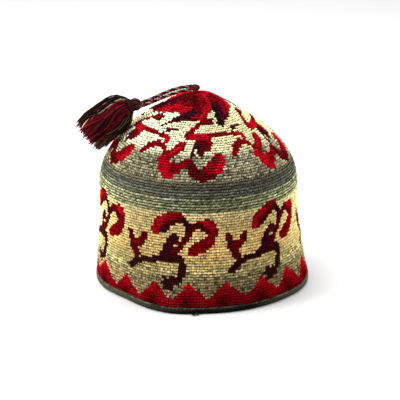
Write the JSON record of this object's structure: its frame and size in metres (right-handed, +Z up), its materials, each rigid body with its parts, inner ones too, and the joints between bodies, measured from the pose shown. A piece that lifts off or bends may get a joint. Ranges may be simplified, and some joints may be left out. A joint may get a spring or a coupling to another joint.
{
  "type": "smoking cap",
  "caption": "Tall domed crocheted cap on a rolled hem, with a tassel on short twisted cords from the knot at its crown.",
  "frame": {"origin": "middle of the hem, on the surface that the cap rests on", "axes": "+Z up through the crown; -Y is the side seen in front, with the tassel on its left (-X)"},
  "size_m": [0.2069, 0.1934, 0.1773],
  "materials": {
    "crochet_wool": "matte crocheted wool",
    "hem_wool": "matte rolled wool edging",
    "cord_wool": "twisted wool cord",
    "tassel_wool": "loose wool yarn"
  },
  "bodies": {
    "root": {"cap_body": "crochet_wool", "hem_edging": "hem_wool", "crown_knot": "cord_wool", "cord_upper": "cord_wool", "cord_lower": "cord_wool", "tassel": "tassel_wool"}
  },
  "joints": []
}
